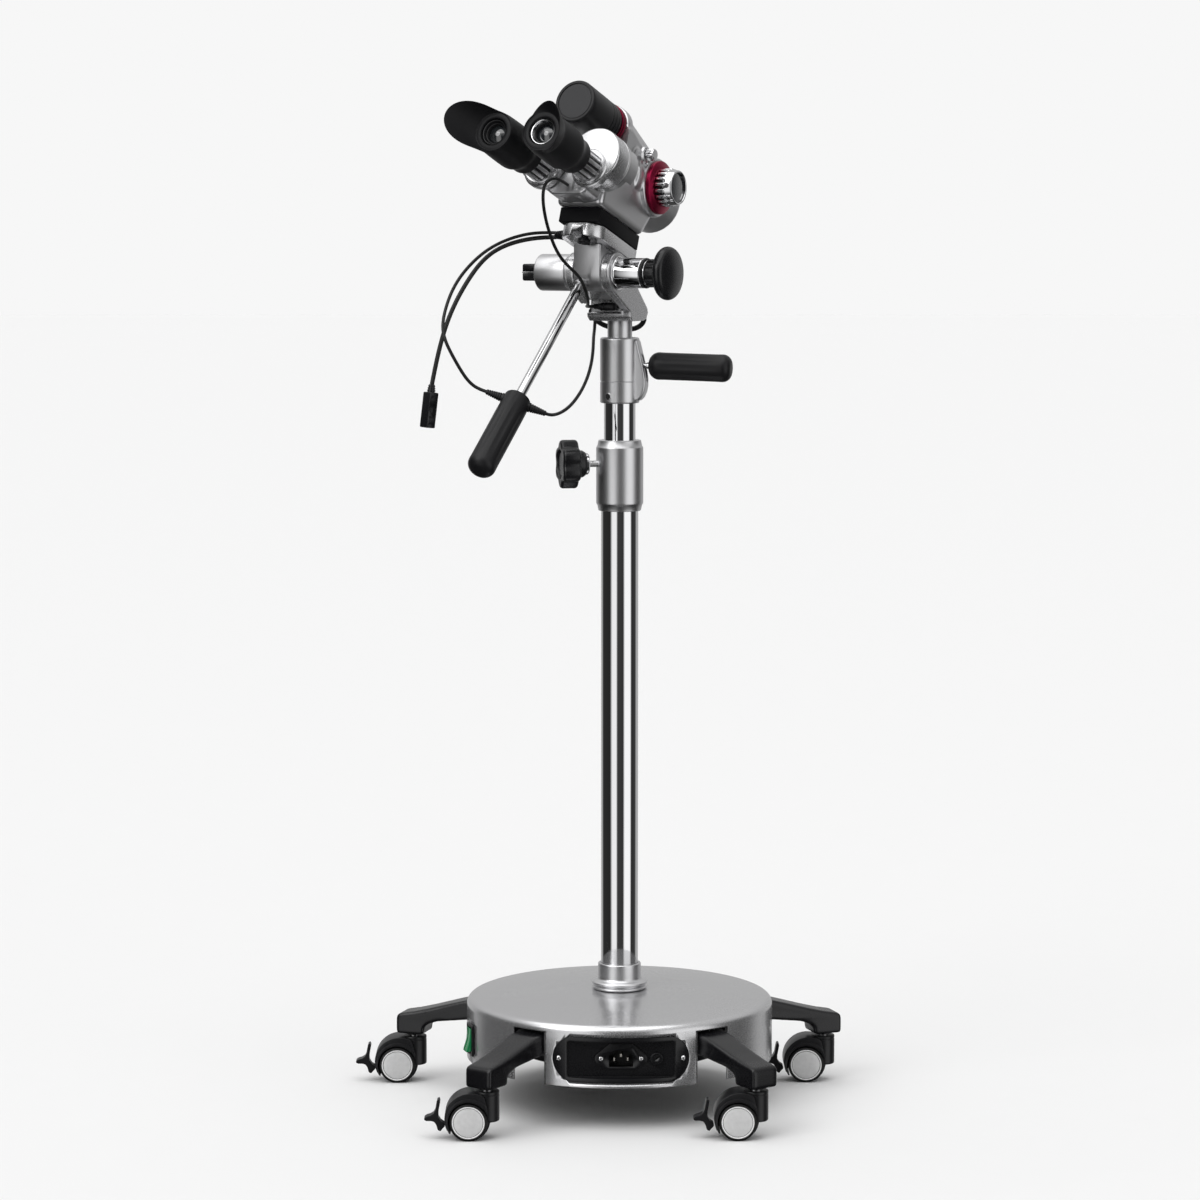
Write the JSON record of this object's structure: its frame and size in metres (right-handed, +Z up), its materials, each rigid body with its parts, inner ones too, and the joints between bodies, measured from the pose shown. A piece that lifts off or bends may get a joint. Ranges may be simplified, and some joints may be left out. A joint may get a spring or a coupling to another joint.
{
  "type": "colposcope",
  "caption": "Binocular examination microscope on a height-adjustable wheeled column, with a tilting head, hand grip, camera port and cables.",
  "frame": {"origin": "floor level under the middle of the stand's and head's footprint", "axes": "+Z up along the column, -Y towards the operator who looks into the eyepieces and the mains inlet side, +X to the right of the mains inlet"},
  "size_m": [0.508, 0.4742, 1.0384],
  "materials": {
    "paint": "gloss silver-grey paint",
    "arm": "black satin paint on a heavy casting",
    "caster": "moulded black plastic",
    "panel": "black moulding",
    "green": "translucent green rocker",
    "chrome": "bright chrome plate",
    "satin": "satin turned",
    "silver": "silver painted casting",
    "black": "satin black moulding",
    "matt_black": "matt black coated",
    "rubber": "soft black rubber",
    "crimson": "crimson anodised",
    "glass": "coated lens",
    "cable": "black sheath"
  },
  "bodies": {
    "base": {"star_base": "arm", "base_cover": "paint", "inlet_panel": "panel", "switch_bezel": "panel", "column_tube": "chrome", "column_ferrule": "satin", "lower_collar": "satin"},
    "rocker": {"switch_rocker": "green"},
    "clamp": {"clamp_knob": "black"},
    "mast": {"slider_tube": "chrome", "lock_collar": "satin"},
    "lever": {"lock_lever": "black"},
    "bracket": {"neck_shaft": "chrome", "fork_bracket": "silver", "tilt_shaft": "chrome", "friction_barrel": "satin", "tension_end": "black", "bracket_plug": "black", "neck_loop": "cable"},
    "tilt_knob": {"tilt_knob": "black"},
    "head": {"tilt_block": "silver", "handle_rod": "chrome", "handle_grip": "black", "head_plate": "silver", "spacer_block": "matt_black", "cable_gland": "black", "optics_body": "silver", "objective_lens": "glass", "mag_ring": "crimson", "port_ring": "crimson", "camera_port": "matt_black", "binocular_base": "silver", "grip_cable": "cable", "lead_cable": "cable", "lead_plug": "black", "supply_cable": "cable", "release_cable": "cable"},
    "mag_knob": {"mag_knob": "chrome"},
    "filter_knob": {"filter_knob": "chrome"},
    "eye_left": {"prism_housing_left": "silver", "eye_tube_left": "chrome", "eyecup_left": "rubber"},
    "eye_right": {"prism_housing_right": "silver", "eye_tube_right": "chrome", "eyecup_right": "rubber"},
    "caster_1": {"caster_yoke_1": "caster"},
    "wheels_1": {"caster_wheels_1": "caster"},
    "brake_1": {"caster_brake_1": "caster"},
    "caster_2": {"caster_yoke_2": "caster"},
    "wheels_2": {"caster_wheels_2": "caster"},
    "brake_2": {"caster_brake_2": "caster"},
    "caster_3": {"caster_yoke_3": "caster"},
    "wheels_3": {"caster_wheels_3": "caster"},
    "brake_3": {"caster_brake_3": "caster"},
    "caster_4": {"caster_yoke_4": "caster"},
    "wheels_4": {"caster_wheels_4": "caster"},
    "brake_4": {"caster_brake_4": "caster"},
    "caster_5": {"caster_yoke_5": "caster"},
    "wheels_5": {"caster_wheels_5": "caster"},
    "brake_5": {"caster_brake_5": "caster"}
  },
  "joints": [
    {"name": "caster_swivel_1", "type": "hinge", "parent": "base", "child": "caster_1", "pos_m": [0.15502, -0.18766, 0], "axis": [0, 0, 1], "continuous": true},
    {"name": "wheel_spin_1", "type": "hinge", "parent": "caster_1", "child": "wheels_1", "pos_m": [0.13702, -0.18766, 0.01877], "axis": [0, 1, 0], "continuous": true},
    {"name": "brake_press_1", "type": "hinge", "parent": "caster_1", "child": "brake_1", "pos_m": [0.11182, -0.18766, 0.01327], "axis": [0, -1, 0], "range_deg": [0, 14]},
    {"name": "caster_swivel_2", "type": "hinge", "parent": "base", "child": "caster_2", "pos_m": [0.23701, 0.06467, 0], "axis": [0, 0, 1], "continuous": true},
    {"name": "wheel_spin_2", "type": "hinge", "parent": "caster_2", "child": "wheels_2", "pos_m": [0.21901, 0.06467, 0.01877], "axis": [0, 1, 0], "continuous": true},
    {"name": "brake_press_2", "type": "hinge", "parent": "caster_2", "child": "brake_2", "pos_m": [0.19381, 0.06467, 0.01327], "axis": [0, -1, 0], "range_deg": [0, 14]},
    {"name": "caster_swivel_3", "type": "hinge", "parent": "base", "child": "caster_3", "pos_m": [0.02235, 0.22063, 0], "axis": [0, 0, 1], "continuous": true},
    {"name": "wheel_spin_3", "type": "hinge", "parent": "caster_3", "child": "wheels_3", "pos_m": [0.00435, 0.22063, 0.01877], "axis": [0, 1, 0], "continuous": true},
    {"name": "brake_press_3", "type": "hinge", "parent": "caster_3", "child": "brake_3", "pos_m": [-0.02085, 0.22063, 0.01327], "axis": [0, -1, 0], "range_deg": [0, 14]},
    {"name": "caster_swivel_4", "type": "hinge", "parent": "base", "child": "caster_4", "pos_m": [-0.1923, 0.06467, 0], "axis": [0, 0, 1], "continuous": true},
    {"name": "wheel_spin_4", "type": "hinge", "parent": "caster_4", "child": "wheels_4", "pos_m": [-0.2103, 0.06467, 0.01877], "axis": [0, 1, 0], "continuous": true},
    {"name": "brake_press_4", "type": "hinge", "parent": "caster_4", "child": "brake_4", "pos_m": [-0.2355, 0.06467, 0.01327], "axis": [0, -1, 0], "range_deg": [0, 14]},
    {"name": "caster_swivel_5", "type": "hinge", "parent": "base", "child": "caster_5", "pos_m": [-0.11031, -0.18766, 0], "axis": [0, 0, 1], "continuous": true},
    {"name": "wheel_spin_5", "type": "hinge", "parent": "caster_5", "child": "wheels_5", "pos_m": [-0.12831, -0.18766, 0.01877], "axis": [0, 1, 0], "continuous": true},
    {"name": "brake_press_5", "type": "hinge", "parent": "caster_5", "child": "brake_5", "pos_m": [-0.15351, -0.18766, 0.01327], "axis": [0, -1, 0], "range_deg": [0, 14]},
    {"name": "mains_rocker", "type": "hinge", "parent": "base", "child": "rocker", "pos_m": [-0.12866, -0.04837, 0.0685], "axis": [0.2756, -0.9613, 0], "range_deg": [0, 16]},
    {"name": "clamp_turn", "type": "hinge", "parent": "base", "child": "clamp", "pos_m": [0.02235, -0.00507, 0.655], "axis": [-0.9781, -0.2079, 0], "continuous": true},
    {"name": "column_slide", "type": "slide", "parent": "base", "child": "mast", "axis": [0, 0, 1], "range_m": [-0.036, 0.25]},
    {"name": "lever_swing", "type": "hinge", "parent": "mast", "child": "lever", "pos_m": [0.04079, -0.00967, 0.755], "axis": [0.2419, 0.9703, 0], "range_deg": [-8, 18]},
    {"name": "head_swivel", "type": "hinge", "parent": "mast", "child": "bracket", "pos_m": [0.02235, -0.00507, 0.79], "axis": [0, 0, 1], "range_deg": [-170, 85]},
    {"name": "head_tilt", "type": "hinge", "parent": "bracket", "child": "head", "pos_m": [-0.00227, -0.04859, 0.849], "axis": [0.8704, -0.4924, 0], "range_deg": [-25, 30], "deforming": ["supply_cable", "release_cable"]},
    {"name": "tilt_knob_turn", "type": "hinge", "parent": "bracket", "child": "tilt_knob", "pos_m": [-0.00227, -0.04859, 0.849], "axis": [0.8704, -0.4924, 0], "continuous": true},
    {"name": "magnification_turn", "type": "hinge", "parent": "head", "child": "mag_knob", "pos_m": [0.03392, 0.01538, 0.93399], "axis": [0.8704, -0.4924, 0], "continuous": true},
    {"name": "filter_turn", "type": "hinge", "parent": "head", "child": "filter_knob", "pos_m": [0.02408, -0.00201, 0.9668], "axis": [0.8704, -0.4924, 0], "range_deg": [-90, 90]},
    {"name": "prism_swing_left", "type": "hinge", "parent": "head", "child": "eye_left", "pos_m": [-0.01218, -0.00722, 0.93451], "axis": [0.4627, 0.8179, -0.342], "range_deg": [0, 30]},
    {"name": "prism_swing_right", "type": "hinge", "parent": "head", "child": "eye_right", "pos_m": [0.0383, -0.03578, 0.93451], "axis": [0.4627, 0.8179, -0.342], "range_deg": [-30, 0]}
  ],
  "couplings": [
    {"joint": "prism_swing_right", "follows": "prism_swing_left", "ratio": -1}
  ]
}
